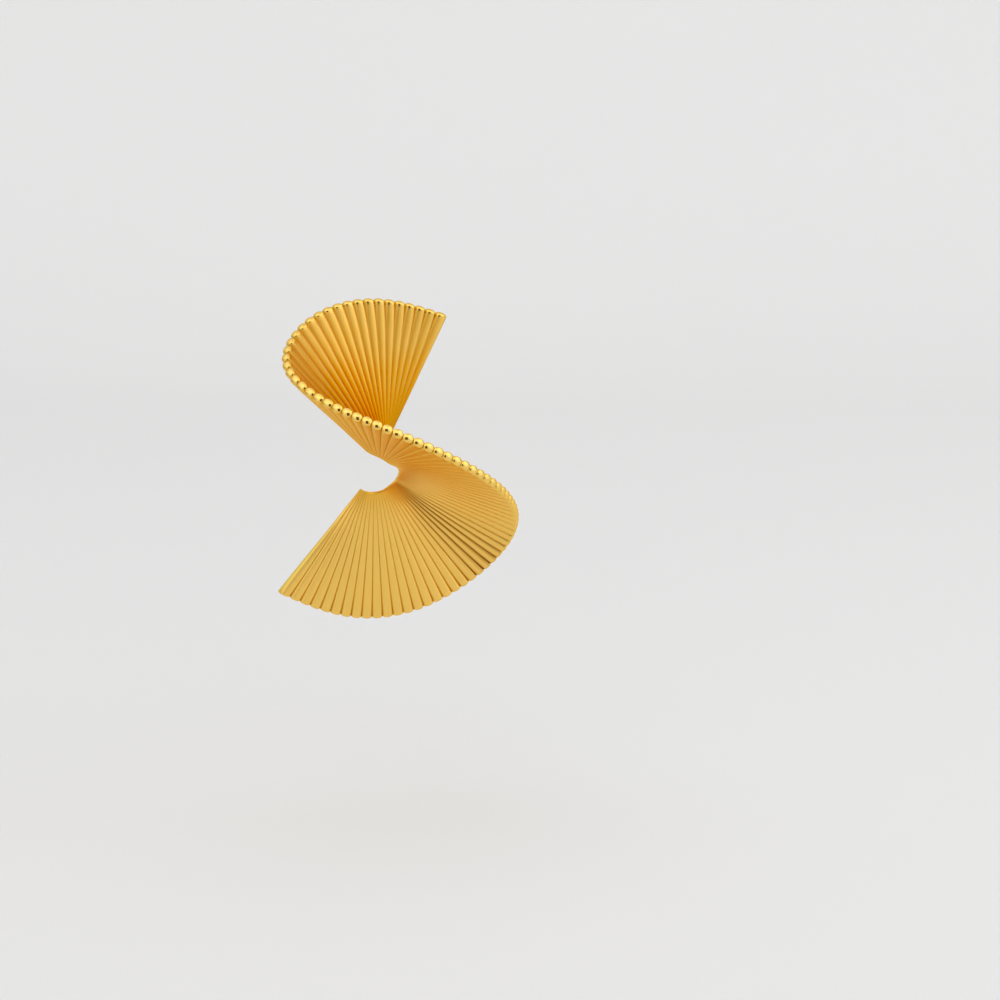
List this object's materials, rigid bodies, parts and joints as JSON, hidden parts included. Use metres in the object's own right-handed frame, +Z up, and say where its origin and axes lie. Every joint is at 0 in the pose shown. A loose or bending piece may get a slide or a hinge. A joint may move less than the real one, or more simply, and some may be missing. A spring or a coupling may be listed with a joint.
{
  "type": "fan earring",
  "caption": "Twisted ribbon earring of tapered round ribs that fan out above and below a curled inner edge, on a straight ear post with a push-on gourd-shaped nut.",
  "frame": {"origin": "middle of the solder pad's ear-side face, on the post's axis, where the ear lobe rests", "axes": "+Z up as it hangs, -Y towards the viewer; the post leaves towards +Y, turned 10 degrees to -X and rising 10 degrees"},
  "size_m": [0.0423, 0.0344, 0.0582],
  "materials": {
    "ribbed_gold": "gold plated, satin ribs with polished bead ends",
    "polished_gold": "gold plated, polished"
  },
  "bodies": {
    "earring": {"fan": "ribbed_gold"},
    "nut": {"ear_nut": "polished_gold"}
  },
  "joints": [
    {"name": "nut_slide", "type": "slide", "parent": "earring", "child": "nut", "axis": [-0.171, 0.9698, 0.1736], "range_m": [-0.0012, 0.004]}
  ]
}
